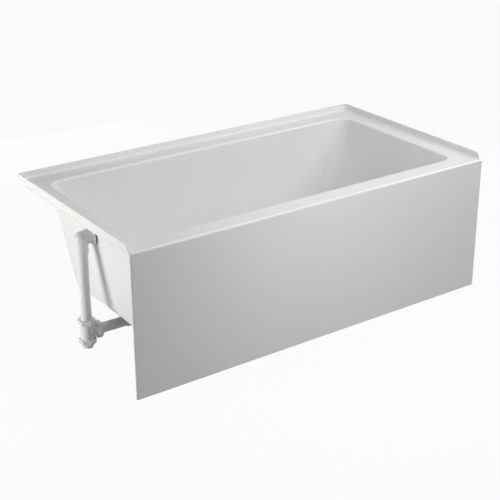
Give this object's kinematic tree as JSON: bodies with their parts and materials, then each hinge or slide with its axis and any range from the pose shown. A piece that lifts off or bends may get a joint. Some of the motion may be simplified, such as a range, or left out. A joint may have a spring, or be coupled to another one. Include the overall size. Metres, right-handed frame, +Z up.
{
  "type": "alcove bathtub",
  "caption": "White acrylic alcove bath with a plain front apron, a tiling flange on three sides, a sloping backrest, left-hand waste and overflow, and levelling legs.",
  "frame": {"origin": "on the floor under the middle of the bath's outline, feet at their rest height", "axes": "+X along the bath from the outlet end to the sloping backrest, +Y from the apron to the back wall, +Z up"},
  "size_m": [1.524, 0.8128, 0.542],
  "materials": {
    "acrylic_white": "glossy white cast acrylic sheet",
    "glass_fibre_white": "rolled glass fibre and resin",
    "timber": "planed softwood, bare",
    "particle_board": "pressed wood particles, bare",
    "zinc_steel": "bright zinc plate",
    "foot_plastic": "moulded polypropylene",
    "chrome": "polished chrome plate",
    "brass_post": "turned brass",
    "putty": "plumber's putty",
    "seal_rubber": "black rubber",
    "guide_plastic": "moulded acetal",
    "waste_pvc": "white PVC, satin",
    "washer_nylon": "moulded nylon"
  },
  "bodies": {
    "bath": {"bath_shell": "acrylic_white", "laminate_backing": "glass_fibre_white", "rim_batten_front": "timber", "rim_batten_back": "timber", "rim_batten_left": "timber", "rim_batten_right": "timber", "apron_rail": "timber", "apron_post_1": "timber", "apron_post_2": "timber", "apron_post_3": "timber", "base_board": "particle_board", "bearer_left": "zinc_steel", "bearer_right": "zinc_steel", "middle_bracket": "zinc_steel", "base_screws": "zinc_steel", "drain_strainer": "chrome", "overflow_plate": "chrome", "overflow_screws": "chrome", "stopper_post": "brass_post", "putty_ring": "putty", "shoe_gasket": "seal_rubber", "overflow_gasket": "seal_rubber", "drain_shoe": "waste_pvc", "waste_tee": "waste_pvc", "waste_arm": "waste_pvc", "overflow_pipe": "waste_pvc", "tailpiece": "waste_pvc", "overflow_elbow": "waste_pvc", "slip_nut_arm": "waste_pvc", "slip_nut_overflow": "waste_pvc", "slip_nut_tail": "waste_pvc", "slip_washers": "washer_nylon"},
    "leg_front_left": {"foot_front_left": "foot_plastic", "leg_rod_front_left": "zinc_steel"},
    "nuts_front_left": {"leg_nuts_front_left": "zinc_steel"},
    "leg_back_left": {"foot_back_left": "foot_plastic", "leg_rod_back_left": "zinc_steel"},
    "nuts_back_left": {"leg_nuts_back_left": "zinc_steel"},
    "leg_front_right": {"foot_front_right": "foot_plastic", "leg_rod_front_right": "zinc_steel"},
    "nuts_front_right": {"leg_nuts_front_right": "zinc_steel"},
    "leg_back_right": {"foot_back_right": "foot_plastic", "leg_rod_back_right": "zinc_steel"},
    "nuts_back_right": {"leg_nuts_back_right": "zinc_steel"},
    "leg_middle": {"foot_middle": "foot_plastic", "leg_rod_middle": "zinc_steel"},
    "nuts_middle": {"leg_nuts_middle": "zinc_steel"},
    "stopper": {"stopper_cap": "chrome", "stopper_seal": "seal_rubber", "stopper_sleeve": "guide_plastic"}
  },
  "joints": [
    {"name": "leg_height_front_left", "type": "slide", "parent": "bath", "child": "leg_front_left", "axis": [0, 0, -1], "range_m": [-0.025, 0.018]},
    {"name": "nut_turn_front_left", "type": "hinge", "parent": "bath", "child": "nuts_front_left", "pos_m": [-0.29, -0.338, 0.08], "axis": [0, 0, 1], "range_deg": [-5143, 3703]},
    {"name": "leg_height_back_left", "type": "slide", "parent": "bath", "child": "leg_back_left", "axis": [0, 0, -1], "range_m": [-0.025, 0.018]},
    {"name": "nut_turn_back_left", "type": "hinge", "parent": "bath", "child": "nuts_back_left", "pos_m": [-0.29, 0.338, 0.08], "axis": [0, 0, 1], "range_deg": [-5143, 3703]},
    {"name": "leg_height_front_right", "type": "slide", "parent": "bath", "child": "leg_front_right", "axis": [0, 0, -1], "range_m": [-0.025, 0.018]},
    {"name": "nut_turn_front_right", "type": "hinge", "parent": "bath", "child": "nuts_front_right", "pos_m": [0.33, -0.338, 0.08], "axis": [0, 0, 1], "range_deg": [-5143, 3703]},
    {"name": "leg_height_back_right", "type": "slide", "parent": "bath", "child": "leg_back_right", "axis": [0, 0, -1], "range_m": [-0.025, 0.018]},
    {"name": "nut_turn_back_right", "type": "hinge", "parent": "bath", "child": "nuts_back_right", "pos_m": [0.33, 0.338, 0.08], "axis": [0, 0, 1], "range_deg": [-5143, 3703]},
    {"name": "leg_height_middle", "type": "slide", "parent": "bath", "child": "leg_middle", "axis": [0, 0, -1], "range_m": [-0.018, 0.006]},
    {"name": "nut_turn_middle", "type": "hinge", "parent": "bath", "child": "nuts_middle", "pos_m": [0.02, -0.002, 0.08], "axis": [0, 0, 1], "range_deg": [-3703, 1235]},
    {"name": "stopper_lift", "type": "slide", "parent": "bath", "child": "stopper", "axis": [0, 0, 1], "range_m": [0, 0.009]}
  ],
  "couplings": [
    {"joint": "nut_turn_front_left", "follows": "leg_height_front_left", "rad_per_m": 3590.4},
    {"joint": "nut_turn_back_left", "follows": "leg_height_back_left", "rad_per_m": 3590.4},
    {"joint": "nut_turn_front_right", "follows": "leg_height_front_right", "rad_per_m": 3590.4},
    {"joint": "nut_turn_back_right", "follows": "leg_height_back_right", "rad_per_m": 3590.4},
    {"joint": "nut_turn_middle", "follows": "leg_height_middle", "rad_per_m": 3590.4}
  ]
}
